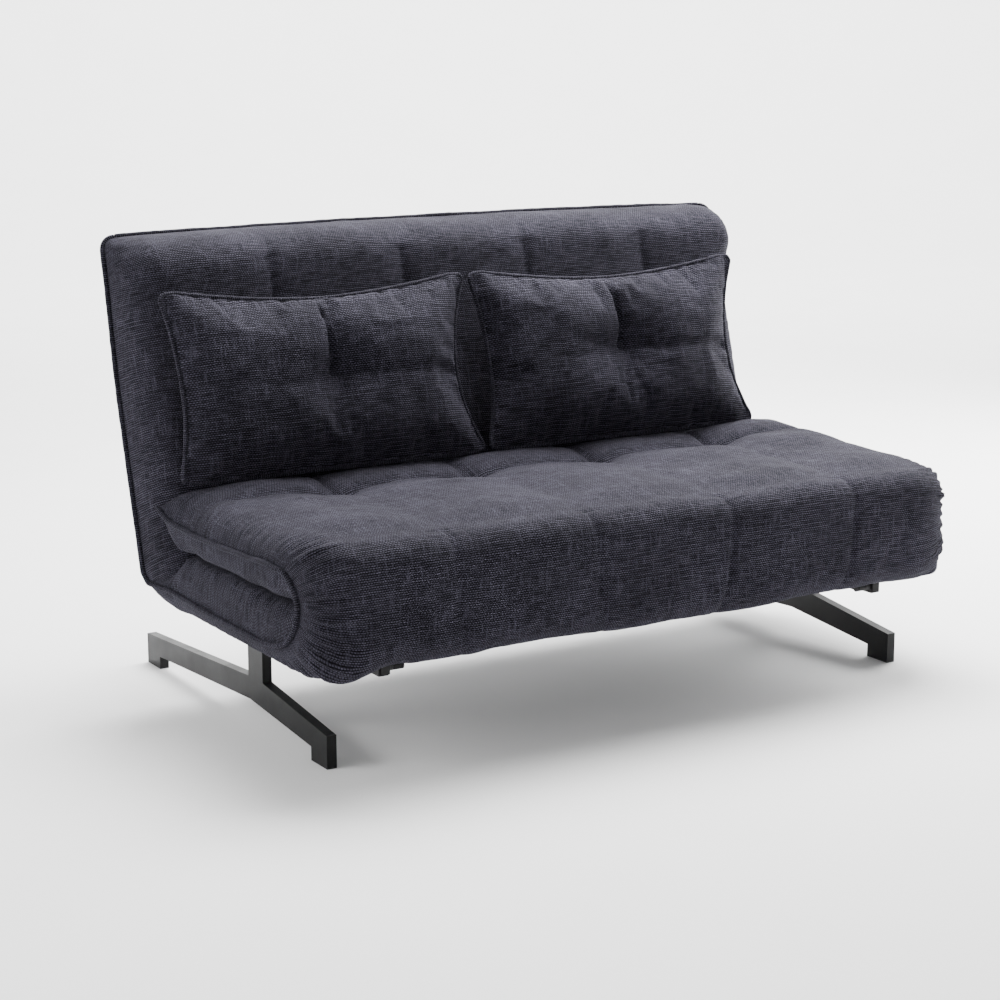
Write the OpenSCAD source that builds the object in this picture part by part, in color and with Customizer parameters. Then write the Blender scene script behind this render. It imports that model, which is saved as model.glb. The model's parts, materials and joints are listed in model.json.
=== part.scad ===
// Three-section futon sofa bed. Origin on the floor under the middle of the sofa.
// X runs across the sofa, the front faces -Y, +Z is up. Millimetres.

/* [Seat] */
// Width across the upholstery
sofa_w = 1540; // [1480:10:1620]
// Reach of the front roll ahead of the origin
front_reach = 475; // [470:1:480]
// Height of the lower section's underside above the floor
seat_z = 203; // [202:1:206]
// Thickness of the lower and of the upper seat section
section_t = 116; // [114:1:118]
// Gap between the two folded seat sections
layer_gap = 6; // [5:1:8]

/* [Back] */
// Distance of the back hinge behind the origin
back_y = 182; // [180:1:186]
// Thickness of the back section
back_t = 120; // [116:1:122]
// Length of the back section above its hinge
back_len = 705; // [695:5:730]
// Lean of the upright back from the vertical, in degrees
lean = 15.7; // [14:0.1:17]

/* [Side feet] */
// Distance of a foot's outer face from the middle of the sofa
foot_x = 682; // [670:1:690]
// Thickness of the flat steel foot
foot_t = 20; // [16:1:24]
// Reach of the feet ahead of the origin
foot_front = 360; // [340:5:370]
// Reach of the feet behind the origin
foot_rear = 475; // [470:1:480]
// Height of a foot's arms at their ends
foot_end_h = 64; // [58:1:70]
// Length of a foot's floor pads
pad_len = 65; // [50:5:80]

/* [Frames] */
// Side of the square tube of the lower and back frames
tube = 25; // [24:1:26]
// Side of the square tube of the upper frame
upper_tube = 20; // [18:1:20]
// Wall of the frame tubes
tube_wall = 1.5; // [1.2:0.1:2]
// Number of sprung slats in each seat section
slat_count = 10; // [8:1:10]
// Width of one slat
slat_w = 60; // [40:5:70]
// Number of webbing straps in the back
strap_count = 6; // [4:1:6]

/* [Bed support] */
// Distance of a runner's inner face from the middle of the sofa
runner_x = 574; // [560:1:576]
// Width of a runner
runner_w = 18; // [16:1:18]
// Height of a runner
runner_h = 22; // [20:1:22]
// Reach of the runners ahead of the origin
runner_front = 405; // [400:1:410]
// Reach of the runners behind the origin
runner_rear = 215; // [205:1:225]

/* [Pillows] */
// Width of a loose pillow
pillow_w = 694; // [640:2:694]
// Height of a loose pillow
pillow_h = 374; // [340:2:380]
// Thickness of a loose pillow
pillow_t = 128; // [100:2:130]

/* [Hidden] */
$fn = 48;

black = "#26262a";
zinc = "#a9adb3";
birch = "#c9a878";
slate = "#454450";
foam_tint = "#d9d2bd";
felt = "#1d1d20";

half_w = sofa_w / 2;
// Thickness of the fabric covers
skin = 2;
// Clearance that foam leaves round the metal and wood inside it
nest = 0.5;
// Gap between soft ends that meet on different sections
soft_gap = 1;

// Heights of the two seat sections and of their middle planes
seat_top = seat_z + section_t;
upper_z = seat_top + layer_gap;
upper_top = upper_z + section_t;
fold_z = seat_z + section_t / 2;
upper_mid = upper_z + section_t / 2;
// The fold lines lie half a section behind the roll's foremost face
fold_y = -front_reach + section_t / 2;
seat_rear = back_y - back_t / 2 - soft_gap;
// The dust cover stops short of the rounded edges
dust_x = half_w - 70;

// Lower frame
frame_z = seat_z + 1.5;
frame_front = fold_y + 17;
frame_rear = back_y - 77;
lower_rail_x = 690;
slat_t = 8;
// Middles of the two cross rails over the feet
foot_rail_y = [-110, -10];
foot_mid_y = (foot_rail_y[0] + foot_rail_y[1]) / 2;

// Upper frame
upper_front = fold_y + 22;
upper_rear = 118;

// Hinges: two plates side by side on one pin
plate_t = 5;
hinge_gap = 1;
pin_r = 6;
bore_r = pin_r + 0.05;
pin_head_r = 10;
eye_r = 16;
inner_plate_x = lower_rail_x;
outer_plate_x = inner_plate_x + plate_t + hinge_gap;
back_rail_x = outer_plate_x;
slot_x0 = inner_plate_x - 5;
slot_x1 = outer_plate_x + plate_t + 8;

// Feet
glide_t = 3;
post_w = 64;
post_top = seat_z - 6;
arm_top = 97;
arm_low = 51;
pad_h = 27;
bolt_x = [620, 650];
bolt_r = 4;
bolt_hole_r = 4.3;

// Bed support
runner_z = 178;
bow_y = -392;
bow_z = runner_z + runner_h / 2;
bow_x = 545;
bow_w = 18;
bow_t = 14;
bow_pin_r = 5;
bow_bore_r = bow_pin_r + 0.05;
bow_reach = bow_z - 0.3;
channel_t = 2.6;

// Pillows, in the leaning frame of the back
pillow_mid_z = 365;
pillow_mid_y = -back_t / 2 - 4 - pillow_t / 2;
left_pillow_x = -397;
right_pillow_x = 303;
button_r = 12.5;
tuft_depth = 30;

// Points of an arc from angle a0 to a1 round [y, z]
function arc(y, z, r, a0, a1, steps = 8) =
    [for (i = [0:steps]) let (a = a0 + (a1 - a0) * i / steps) [y + r * cos(a), z + r * sin(a)]];

function oval(y, z, ry, rz, power, steps) =
    [for (i = [0:steps - 1]) let (a = 360 * i / steps)
        [y + ry * sign(cos(a)) * pow(abs(cos(a)), power),
         z + rz * sign(sin(a)) * pow(abs(sin(a)), power)]];

// A side outline in Y and Z, drawn from x0 to x1
module prism(x0, x1, points) {
    translate([x0, 0, 0]) rotate([90, 0, 90]) linear_extrude(x1 - x0) polygon(points);
}

// A box between two corners
module block(low, high) {
    translate(low) cube(high - low);
}

// A rod along X
module rod(x0, x1, y, z, r) {
    translate([x0, y, z]) rotate([0, 90, 0]) cylinder(h = x1 - x0, r = r);
}

module both_sides() {
    children();
    mirror([1, 0, 0]) children();
}

// The leaning frame of the back: Z runs up the back, -Y faces the sitter
module on_back() {
    translate([0, back_y, fold_z]) rotate([-lean, 0, 0]) children();
}

// ---- Feet ----

module foot_plate() {
    rear_post = foot_mid_y + post_w / 2;
    front_post = foot_mid_y - post_w / 2;
    outline = [
        [-foot_front, glide_t], [-foot_front + pad_len, glide_t], [-foot_front + pad_len, pad_h],
        [rear_post - 6, arm_low],
        [foot_rear - pad_len, pad_h], [foot_rear - pad_len, glide_t], [foot_rear, glide_t],
        [foot_rear, foot_end_h], [rear_post, arm_top], [rear_post, post_top],
        [front_post, post_top], [front_post, arm_top], [-foot_front, foot_end_h]
    ];
    prism(foot_x - foot_t, foot_x, outline);
}

module left_foot() {
    color(black) mirror([1, 0, 0]) foot_plate();
}

module right_foot() {
    color(black) foot_plate();
}

module foot_bracket() {
    inner_x = foot_x - 82;
    post_x = foot_x - foot_t;
    difference() {
        union() {
            block([inner_x, foot_mid_y - 65, post_top], [foot_x + 8, foot_mid_y + 65, seat_z]);
            translate([0, foot_mid_y + 4, 0]) rotate([90, 0, 0]) linear_extrude(8)
                polygon([[post_x, 125], [post_x, post_top], [inner_x + 8, post_top]]);
        }
        for (x = bolt_x) for (y = foot_rail_y)
            translate([x, y, post_top - 1]) cylinder(h = 8, r = bolt_hole_r);
    }
}

module foot_brackets() {
    color(black) both_sides() foot_bracket();
}

module foot_bolt() {
    head_h = 5;
    translate([0, 0, post_top - head_h]) cylinder(h = head_h, r = 7.5, $fn = 6);
    translate([0, 0, post_top - 1]) cylinder(h = 30, r = bolt_r);
}

module foot_bolts() {
    color(zinc) both_sides() for (x = bolt_x) for (y = foot_rail_y)
        translate([x, y, 0]) foot_bolt();
}

module floor_glides() {
    glide_x0 = foot_x - foot_t;
    color(felt) both_sides() {
        block([glide_x0, -foot_front, 0], [foot_x, -foot_front + pad_len, glide_t]);
        block([glide_x0, foot_rear - pad_len, 0], [foot_x, foot_rear, glide_t]);
    }
}

// ---- Lower section, which stays on the feet ----

// Bars of the lower frame, shrunk by inset on each side face
module lower_bars(inset) {
    z0 = frame_z + inset;
    z1 = frame_z + tube - inset;
    open = inset > 0 ? 1 : 0;
    both_sides() block([lower_rail_x - tube + inset, frame_front - open, z0],
                       [lower_rail_x - inset, frame_rear + open, z1]);
    cross_y = [frame_front, foot_rail_y[0] - tube / 2, foot_rail_y[1] - tube / 2, frame_rear - tube];
    reach = lower_rail_x - tube / 2;
    for (y = cross_y) block([-reach, y + inset, z0], [reach, y + tube - inset, z1]);
}

module lower_frame() {
    color(black) difference() {
        lower_bars(0);
        lower_bars(tube_wall);
        both_sides() for (x = bolt_x) for (y = foot_rail_y)
            translate([x, y, frame_z - 1]) cylinder(h = 5, r = bolt_hole_r);
    }
}

// One row of slats from y0 to y1, grown by grow on each side
module slat_row(y0, y1, z, grow) {
    pitch = (2 * lower_rail_x - 130) / (slat_count - 1);
    for (i = [0:slat_count - 1]) {
        x = -lower_rail_x + 65 + pitch * i;
        block([x - slat_w / 2 - grow, y0 - grow, z - grow],
              [x + slat_w / 2 + grow, y1 + grow, z + slat_t + grow]);
    }
}

// Holders that clip over the slats' ends, 22 long
module slat_holder_row(y0, y1, z) {
    holder = 22;
    pitch = (2 * lower_rail_x - 130) / (slat_count - 1);
    difference() {
        for (i = [0:slat_count - 1]) for (y = [y0 - 2, y1 + 2 - holder]) {
            x = -lower_rail_x + 65 + pitch * i;
            block([x - slat_w / 2 - 3, y, z], [x + slat_w / 2 + 3, y + holder, z + slat_t + 2]);
        }
        slat_row(y0, y1, z, 0.1);
    }
}

lower_slat_z = frame_z + tube;

module lower_slats() {
    color(birch) slat_row(frame_front + 4, frame_rear - 4, lower_slat_z, 0);
}

module lower_slat_holders() {
    color(felt) slat_holder_row(frame_front + 4, frame_rear - 4, lower_slat_z);
}

// Space inside the foam that the hinge plates turn in
module hinge_slots(y0, y1, z0, z1) {
    both_sides() block([slot_x0, y0, z0], [slot_x1, y1, z1]);
}

// Groove for slats and holders in a foam block
module slat_groove(y0, y1, z) {
    pitch = (2 * lower_rail_x - 130) / (slat_count - 1);
    for (i = [0:slat_count - 1]) {
        x = -lower_rail_x + 65 + pitch * i;
        block([x - slat_w / 2 - 3 - nest, y0 - 2 - nest, z - nest],
              [x + slat_w / 2 + 3 + nest, y1 + 2 + nest, z + slat_t + 2 + nest]);
    }
}

module lower_foam() {
    color(foam_tint) difference() {
        block([-half_w + skin, fold_y, frame_z], [half_w - skin, seat_rear - skin, seat_top - skin]);
        lower_bars(-nest);
        slat_groove(frame_front + 4, frame_rear - 4, lower_slat_z);
        hinge_slots(fold_y - 1, fold_y + 90, frame_z - 1, seat_top);
        hinge_slots(back_y - 152, seat_rear + 1, frame_z - 1, seat_top);
    }
}

module lower_inner_cover() {
    color(slate) difference() {
        block([-half_w, fold_y, seat_z], [half_w, seat_rear, seat_top]);
        block([-half_w + skin, fold_y - 1, seat_z - 1],
              [half_w - skin, seat_rear - skin, seat_top - skin]);
        hinge_slots(fold_y - 1, fold_y + 20, seat_z, seat_top + 1);
        hinge_slots(seat_rear - 10, seat_rear + 1, seat_z + 2, seat_top - 20);
    }
}

module lower_dust_cover() {
    color(felt) difference() {
        block([-dust_x, fold_y + 12, seat_z], [dust_x, seat_rear - 12, frame_z]);
        both_sides() for (x = bolt_x) for (y = foot_rail_y)
            translate([x, y, seat_z - 1]) cylinder(h = 4, r = bolt_hole_r);
    }
}

// ---- Hinge plates on the lower frame ----

module hinge_bracket() {
    eye = 22;
    rail_z0 = frame_z + 2;
    rail_z1 = frame_z + tube - 2;
    difference() {
        union() {
            prism(inner_plate_x, inner_plate_x + plate_t, [
                [frame_rear - 65, rail_z0], [frame_rear, rail_z0], [back_y + 8, fold_z - 20],
                [back_y - 8, fold_z + 20], [frame_rear - 10, rail_z1], [frame_rear - 65, rail_z1]]);
            rod(inner_plate_x, inner_plate_x + plate_t, back_y, fold_z, eye);
        }
        rod(inner_plate_x - 1, inner_plate_x + plate_t + 1, back_y, fold_z, bore_r);
    }
}

module left_hinge_bracket() {
    color(zinc) mirror([1, 0, 0]) hinge_bracket();
}

module right_hinge_bracket() {
    color(zinc) hinge_bracket();
}

module fold_bracket() {
    rail_z0 = frame_z + 2;
    rail_z1 = frame_z + tube - 2;
    difference() {
        union() {
            prism(inner_plate_x, inner_plate_x + plate_t, [
                [frame_front + 70, rail_z0], [frame_front + 70, rail_z1],
                [fold_y + 9, fold_z + 13], [fold_y - 14, fold_z - 7], [frame_front, rail_z0]]);
            rod(inner_plate_x, inner_plate_x + plate_t, fold_y, fold_z, eye_r);
        }
        rod(inner_plate_x - 1, inner_plate_x + plate_t + 1, fold_y, fold_z, bore_r);
    }
}

module left_fold_bracket() {
    color(zinc) mirror([1, 0, 0]) fold_bracket();
}

module right_fold_bracket() {
    color(zinc) fold_bracket();
}

// A headed pin through both plates, with its retaining ring
module hinge_pin(y, z) {
    end_x = inner_plate_x - 3;
    head_x = outer_plate_x + plate_t + 0.2;
    rod(end_x, head_x, y, z, pin_r);
    rod(head_x, head_x + 4, y, z, pin_head_r);
    difference() {
        rod(end_x + 0.3, end_x + 2.3, y, z, 9);
        rod(end_x, end_x + 3, y, z, bore_r);
    }
}

module back_hinge_pins() {
    color(zinc) both_sides() hinge_pin(back_y, fold_z);
}

module lower_fold_pins() {
    color(zinc) both_sides() hinge_pin(fold_y, fold_z);
}

// ---- Channels that the bed support slides in ----

module runner_channel() {
    web_x = runner_x + runner_w + 0.5;
    low = runner_z - 0.4;
    high = runner_z + runner_h + 0.4;
    difference() {
        block([runner_x + 0.5, frame_front - 2, low - channel_t],
              [web_x + channel_t, frame_rear, seat_z]);
        block([runner_x, frame_front - 3, low], [web_x, frame_rear + 1, high]);
    }
}

module left_runner_channel() {
    color(black) mirror([1, 0, 0]) runner_channel();
}

module right_runner_channel() {
    color(black) runner_channel();
}

// ---- Back section ----

// Side outline of the back, drawn inset inwards, in the leaning frame
function back_outline(inset) = concat(
    arc(0, 0, back_t / 2 - inset, 180, 360, 16),
    arc(back_t / 2 - 12, back_len - 12, 12 - inset, 0, 90, 4),
    arc(-back_t / 2 + 70, back_len - 90, 70 - inset, 90, 180, 8)
);

module back_bars(inset) {
    low = 40;
    high = back_len - 40;
    half = tube / 2 - inset;
    open = inset > 0 ? 1 : 0;
    both_sides() block([back_rail_x - tube + inset, -half, low - open],
                       [back_rail_x - inset, half, high + open]);
    reach = back_rail_x - tube / 2;
    for (z = [low + 5, back_len / 2, high - tube])
        block([-reach, -half, z + inset], [reach, half, z + tube - inset]);
}

module back_frame() {
    color(black) on_back() difference() {
        back_bars(0);
        back_bars(tube_wall);
    }
}

strap_t = 2;

module straps(grow) {
    pitch = (back_len - 180) / (strap_count - 1);
    for (i = [0:strap_count - 1])
        block([-lower_rail_x - grow, -tube / 2 - strap_t - grow, 60 + pitch * i - grow],
              [lower_rail_x + grow, -tube / 2 + (grow > 0 ? 1 : 0), 120 + pitch * i + grow]);
}

module back_webbing() {
    color(felt) on_back() straps(0);
}

module back_foam() {
    color(foam_tint) on_back() difference() {
        prism(-half_w + skin, half_w - skin, back_outline(skin));
        back_bars(-nest);
        straps(nest);
        hinge_slots(-back_t, back_t, -back_t, 62);
        both_sides() block([back_rail_x - 1, -13, 61], [outer_plate_x + plate_t + 1, 13, 154]);
    }
}

module back_inner_cover() {
    color(slate) on_back() difference() {
        prism(-half_w, half_w, back_outline(0));
        prism(-half_w + skin, half_w - skin, back_outline(skin));
        block([-half_w + skin, back_t / 2 - skin - 1, 0], [half_w - skin, back_t / 2 + 1, back_len - 14]);
        hinge_slots(-back_t, back_t, -back_t, 62);
    }
}

module back_outer_cover() {
    color(slate) on_back() difference() {
        block([-half_w + skin, back_t / 2 - skin, 0], [half_w - skin, back_t / 2, back_len - 14]);
        hinge_slots(0, back_t, -1, 62);
    }
}

module hinge_disc() {
    disc_r = 34;
    difference() {
        union() {
            rod(outer_plate_x, outer_plate_x + plate_t, 0, 0, disc_r);
            block([outer_plate_x, -11, 0], [outer_plate_x + plate_t, 11, 150]);
        }
        rod(outer_plate_x - 1, outer_plate_x + plate_t + 1, 0, 0, bore_r);
    }
}

module left_hinge_disc() {
    color(zinc) on_back() mirror([1, 0, 0]) hinge_disc();
}

module right_hinge_disc() {
    color(zinc) on_back() hinge_disc();
}

// ---- Front roll, which bridges the two fold lines ----

module link_arm() {
    arm_r = 14;
    difference() {
        union() {
            block([outer_plate_x, fold_y - arm_r, fold_z], [outer_plate_x + plate_t, fold_y + arm_r, upper_mid]);
            rod(outer_plate_x, outer_plate_x + plate_t, fold_y, fold_z, arm_r);
            rod(outer_plate_x, outer_plate_x + plate_t, fold_y, upper_mid, arm_r);
        }
        rod(outer_plate_x - 1, outer_plate_x + plate_t + 1, fold_y, fold_z, bore_r);
        rod(outer_plate_x - 1, outer_plate_x + plate_t + 1, fold_y, upper_mid, bore_r);
    }
}

module left_link_arm() {
    color(zinc) mirror([1, 0, 0]) link_arm();
}

module right_link_arm() {
    color(zinc) link_arm();
}

module upper_fold_pins() {
    color(zinc) both_sides() hinge_pin(fold_y, upper_mid);
}

// Side outline of the roll, half a gap ahead of the fold lines
function roll_outline(inset) = let (y = fold_y - soft_gap / 2, r = section_t / 2 - soft_gap / 2 - inset)
    concat(arc(y, fold_z, r, 270, 180), arc(y, upper_mid, r, 180, 90));

module roll_foam() {
    color(foam_tint) difference() {
        prism(-half_w + skin, half_w - skin, roll_outline(skin));
        hinge_slots(fold_y - 20, fold_y + 1, fold_z - 34, upper_mid + 18);
    }
}

module roll_cover() {
    color(slate) difference() {
        prism(-half_w, half_w, roll_outline(0));
        prism(-half_w + skin, half_w - skin, roll_outline(skin));
        block([-half_w + skin, fold_y - 1, fold_z - section_t / 2 + skin + 0.5],
              [half_w - skin, fold_y + 1, upper_mid + section_t / 2 - skin - 0.5]);
    }
}

// ---- Upper section, folded over the lower one ----

// Rear end of the upper section at height z, leaning with the back
function upper_end(z, inset) =
    back_y + (z - fold_z) * tan(lean) - (back_t / 2 + soft_gap) / cos(lean) - inset;

function upper_outline(inset) = [
    [fold_y, upper_z + inset], [upper_end(upper_z + inset, inset), upper_z + inset],
    [upper_end(upper_top - 8, inset), upper_top - 8],
    [upper_end(upper_top, inset) - 10, upper_top - inset], [fold_y, upper_top - inset]
];

module upper_bars(inset) {
    z0 = upper_mid - upper_tube / 2 + inset;
    z1 = upper_mid + upper_tube / 2 - inset;
    open = inset > 0 ? 1 : 0;
    both_sides() block([lower_rail_x - upper_tube + inset, upper_front - open, z0],
                       [lower_rail_x - inset, upper_rear + open, z1]);
    reach = lower_rail_x - upper_tube / 2;
    for (y = [upper_front, (upper_front + upper_rear - upper_tube) / 2, upper_rear - upper_tube])
        block([-reach, y + inset, z0], [reach, y + upper_tube - inset, z1]);
}

module upper_frame() {
    color(black) difference() {
        upper_bars(0);
        upper_bars(tube_wall);
    }
}

upper_slat_z = upper_mid + upper_tube / 2;

module upper_slats() {
    color(birch) slat_row(upper_front + 4, upper_rear - 4, upper_slat_z, 0);
}

module upper_slat_holders() {
    color(felt) slat_holder_row(upper_front + 4, upper_rear - 4, upper_slat_z);
}

module upper_foam() {
    color(foam_tint) difference() {
        prism(-half_w + skin, half_w - skin, upper_outline(skin));
        upper_bars(-nest);
        slat_groove(upper_front + 4, upper_rear - 4, upper_slat_z);
        hinge_slots(fold_y - 1, fold_y + 90, upper_z, upper_mid + 18);
    }
}

module upper_inner_cover() {
    color(slate) difference() {
        prism(-half_w, half_w, upper_outline(0));
        prism(-half_w + skin, half_w - skin, upper_outline(skin));
        block([-half_w + skin, fold_y - 1, upper_z + skin], [half_w - skin, fold_y + 5, upper_top - skin]);
        block([-half_w + skin, fold_y - 1, upper_top - skin - 1], [half_w - skin, upper_rear, upper_top + 1]);
        hinge_slots(fold_y - 1, fold_y + 20, upper_z - 1, upper_z + skin + 1);
    }
}

module upper_outer_cover() {
    color(slate) block([-half_w + skin, fold_y, upper_top - skin], [half_w - skin, upper_rear, upper_top]);
}

module upper_bracket() {
    plate_half = upper_tube / 2 - 2;
    difference() {
        union() {
            block([inner_plate_x, fold_y, upper_mid - plate_half],
                  [inner_plate_x + plate_t, fold_y + 87, upper_mid + plate_half]);
            rod(inner_plate_x, inner_plate_x + plate_t, fold_y, upper_mid, eye_r);
        }
        rod(inner_plate_x - 1, inner_plate_x + plate_t + 1, fold_y, upper_mid, bore_r);
    }
}

module left_upper_bracket() {
    color(zinc) mirror([1, 0, 0]) upper_bracket();
}

module right_upper_bracket() {
    color(zinc) upper_bracket();
}

// ---- Pull-out bed support ----

module runner() {
    wall = 2;
    difference() {
        block([runner_x, -runner_front, runner_z], [runner_x + runner_w, runner_rear, runner_z + runner_h]);
        block([runner_x + wall, -runner_front - 1, runner_z + wall],
              [runner_x + runner_w - wall, runner_rear + 1, runner_z + runner_h - wall]);
        rod(runner_x - 1, runner_x + runner_w + 1, bow_y, bow_z, bow_bore_r);
    }
}

module left_runner() {
    color(black) mirror([1, 0, 0]) runner();
}

module right_runner() {
    color(black) runner();
}

module runner_crossbar() {
    bar = 18;
    rear = runner_rear - 2;
    mid_z = bow_z;
    color(black) difference() {
        block([-runner_x, rear - bar, mid_z - bar / 2], [runner_x, rear, mid_z + bar / 2]);
        block([-runner_x - 1, rear - bar + 2, mid_z - bar / 2 + 2],
              [runner_x + 1, rear - 2, mid_z + bar / 2 - 2]);
    }
}

module runner_caps() {
    cap_t = 2;
    color(felt) both_sides() for (y = [-runner_front - cap_t, runner_rear])
        block([runner_x, y, runner_z], [runner_x + runner_w, y + cap_t, runner_z + runner_h]);
}

module bow_pins() {
    color(zinc) both_sides() {
        rod(bow_x - 2, runner_x + runner_w, bow_y, bow_z, bow_pin_r);
        rod(bow_x - 5, bow_x - 2, bow_y, bow_z, 8);
    }
}

module bow_spacers() {
    color(felt) both_sides() difference() {
        rod(bow_x + bow_w + 0.3, runner_x - 0.3, bow_y, bow_z, 8);
        rod(bow_x + bow_w, runner_x, bow_y, bow_z, bow_bore_r);
    }
}

// Far face of the bow's crossbar, without its glides
bow_end = bow_y + bow_reach - glide_t;

module bow_arms() {
    color(black) both_sides() difference() {
        union() {
            block([bow_x, bow_y, bow_z - bow_t / 2], [bow_x + bow_w, bow_end, bow_z + bow_t / 2]);
            rod(bow_x, bow_x + bow_w, bow_y, bow_z, bow_t / 2 + 1);
        }
        rod(bow_x - 1, bow_x + bow_w + 1, bow_y, bow_z, bow_bore_r);
    }
}

module bow_crossbar() {
    color(black) block([-bow_x, bow_end - bow_t, bow_z - bow_t / 2], [bow_x, bow_end, bow_z + bow_t / 2]);
}

module bow_glides() {
    color(felt) both_sides()
        block([bow_x - 65, bow_end, bow_z - 6], [bow_x - 15, bow_end + glide_t, bow_z + 6]);
}

// ---- Loose pillows ----

module pillow(mid_x) {
    on_back() difference() {
        prism(mid_x - pillow_w / 2, mid_x + pillow_w / 2,
              oval(pillow_mid_y, pillow_mid_z, pillow_t / 2, pillow_h / 2, 0.75, 24));
        translate([mid_x, pillow_mid_y - pillow_t / 2 + tuft_depth, pillow_mid_z]) rotate([90, 0, 0])
            cylinder(h = tuft_depth + 5, r = button_r + 1.5);
    }
}

module pillow_button(mid_x) {
    on_back() translate([mid_x, pillow_mid_y - pillow_t / 2 + tuft_depth, pillow_mid_z]) rotate([90, 0, 0])
        cylinder(h = 8, r = button_r);
}

module left_pillow() {
    color(slate) pillow(left_pillow_x);
}

module left_pillow_button() {
    color(slate) pillow_button(left_pillow_x);
}

module right_pillow() {
    color(slate) pillow(right_pillow_x);
}

module right_pillow_button() {
    color(slate) pillow_button(right_pillow_x);
}

left_foot();
right_foot();
foot_brackets();
foot_bolts();
floor_glides();
lower_frame();
lower_slats();
lower_slat_holders();
lower_foam();
lower_inner_cover();
lower_dust_cover();
left_hinge_bracket();
right_hinge_bracket();
back_hinge_pins();
left_fold_bracket();
right_fold_bracket();
lower_fold_pins();
left_runner_channel();
right_runner_channel();
back_frame();
back_webbing();
back_foam();
back_inner_cover();
back_outer_cover();
left_hinge_disc();
right_hinge_disc();
left_link_arm();
right_link_arm();
upper_fold_pins();
roll_foam();
roll_cover();
upper_frame();
upper_slats();
upper_slat_holders();
upper_foam();
upper_inner_cover();
upper_outer_cover();
left_upper_bracket();
right_upper_bracket();
left_runner();
right_runner();
runner_crossbar();
runner_caps();
bow_pins();
bow_spacers();
bow_arms();
bow_crossbar();
bow_glides();
left_pillow();
left_pillow_button();
right_pillow();
right_pillow_button();
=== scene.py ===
"""Looks of the futon sofa bed: crowned and tufted covers, piping, loose pillows and materials.

Every cover is a swept surface. A row of it lies at one place along the sofa's side outline, from the
piping on one end, over the crown, to the piping on the other end. Metres, in the frame of the CAD model.
"""
import json
import math

import bpy
import numpy as np
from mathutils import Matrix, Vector


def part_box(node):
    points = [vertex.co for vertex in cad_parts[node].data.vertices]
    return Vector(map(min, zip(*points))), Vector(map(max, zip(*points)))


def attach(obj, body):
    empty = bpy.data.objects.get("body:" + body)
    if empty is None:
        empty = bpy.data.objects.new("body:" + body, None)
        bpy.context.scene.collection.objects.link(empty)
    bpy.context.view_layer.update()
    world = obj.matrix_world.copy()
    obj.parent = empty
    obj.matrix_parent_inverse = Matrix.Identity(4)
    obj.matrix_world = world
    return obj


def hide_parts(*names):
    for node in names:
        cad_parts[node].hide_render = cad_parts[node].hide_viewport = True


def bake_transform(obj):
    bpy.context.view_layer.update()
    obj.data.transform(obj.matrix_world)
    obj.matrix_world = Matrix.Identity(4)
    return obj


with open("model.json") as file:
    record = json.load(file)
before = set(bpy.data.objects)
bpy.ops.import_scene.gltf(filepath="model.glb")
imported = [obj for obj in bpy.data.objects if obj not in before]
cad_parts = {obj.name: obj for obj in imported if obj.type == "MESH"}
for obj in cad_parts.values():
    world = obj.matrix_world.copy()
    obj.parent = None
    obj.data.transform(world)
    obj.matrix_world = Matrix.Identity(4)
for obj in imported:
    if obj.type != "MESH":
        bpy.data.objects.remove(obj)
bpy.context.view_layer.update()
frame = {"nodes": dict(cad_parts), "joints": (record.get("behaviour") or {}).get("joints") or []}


# ---- Places taken from the frame ----

def joint(name):
    return next(j for j in frame["joints"] if j["name"] == name)


BACK_PIVOT = np.array(joint("back_recline")["pos_m"][1:])
LOW_FOLD = np.array(joint("front_fold")["pos_m"][1:])
HIGH_FOLD = np.array(joint("seat_fold")["pos_m"][1:])

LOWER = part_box("lower_inner_cover")
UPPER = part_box("upper_inner_cover")
HALF_W = LOWER[1].x
SEAT_Z = LOWER[0].z
LOWER_TOP = LOWER[1].z
UPPER_Z = UPPER[0].z
UPPER_TOP = UPPER[1].z
ROLL_R = LOW_FOLD[1] - SEAT_Z
FRONT_Y = LOW_FOLD[0] - ROLL_R
MID_Z = (LOW_FOLD[1] + HIGH_FOLD[1]) / 2

RUNNER_X = (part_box("right_runner")[0].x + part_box("right_runner")[1].x) / 2

LEAN = math.radians(90 - joint("back_recline")["range_deg"][1])
UP_BACK = np.array([math.sin(LEAN), math.cos(LEAN)])
OFF_BACK = np.array([-math.cos(LEAN), math.sin(LEAN)])
BACK_HALF = 0.060
BACK_LEN = 0.705

COLUMNS = np.array([-0.462, -0.154, 0.154, 0.462])
COLUMN_PITCH = 0.308
TUFT_ROW_Y = 0.0
EDGE_ROW_Y = LOW_FOLD[0] - 0.004


def on_back(u, v):
    """Y and Z of a point at u up the back and v ahead of its middle plane."""
    return BACK_PIVOT + u * UP_BACK + v * OFF_BACK


# ---- Small numeric helpers ----

def smooth(x, low, high):
    t = np.clip((x - low) / (high - low), 0, 1)
    return t * t * (3 - 2 * t)


def fall(x, low, high):
    """1 up to low and 0 past high."""
    return 1 - smooth(x, low, high)


def bump(x, middle, half):
    """1 at the middle and 0 past half away from it."""
    return fall(np.abs(x - middle), 0, half)


def noise(u, v, cell, seed):
    """Smooth noise from -1 to 1 over u and v, one random value to a cell."""
    rng = np.random.RandomState(seed)
    table = rng.uniform(-1, 1, (64, 64))
    a, b = u / cell + 31.7, v / cell + 17.3
    i, j = np.floor(a).astype(int), np.floor(b).astype(int)
    fa, fb = a - i, b - j
    fa, fb = fa * fa * (3 - 2 * fa), fb * fb * (3 - 2 * fb)
    i0, i1, j0, j1 = i % 64, (i + 1) % 64, j % 64, (j + 1) % 64
    low = table[i0, j0] * (1 - fa) + table[i1, j0] * fa
    high = table[i0, j1] * (1 - fa) + table[i1, j1] * fa
    return low * (1 - fb) + high * fb


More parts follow.
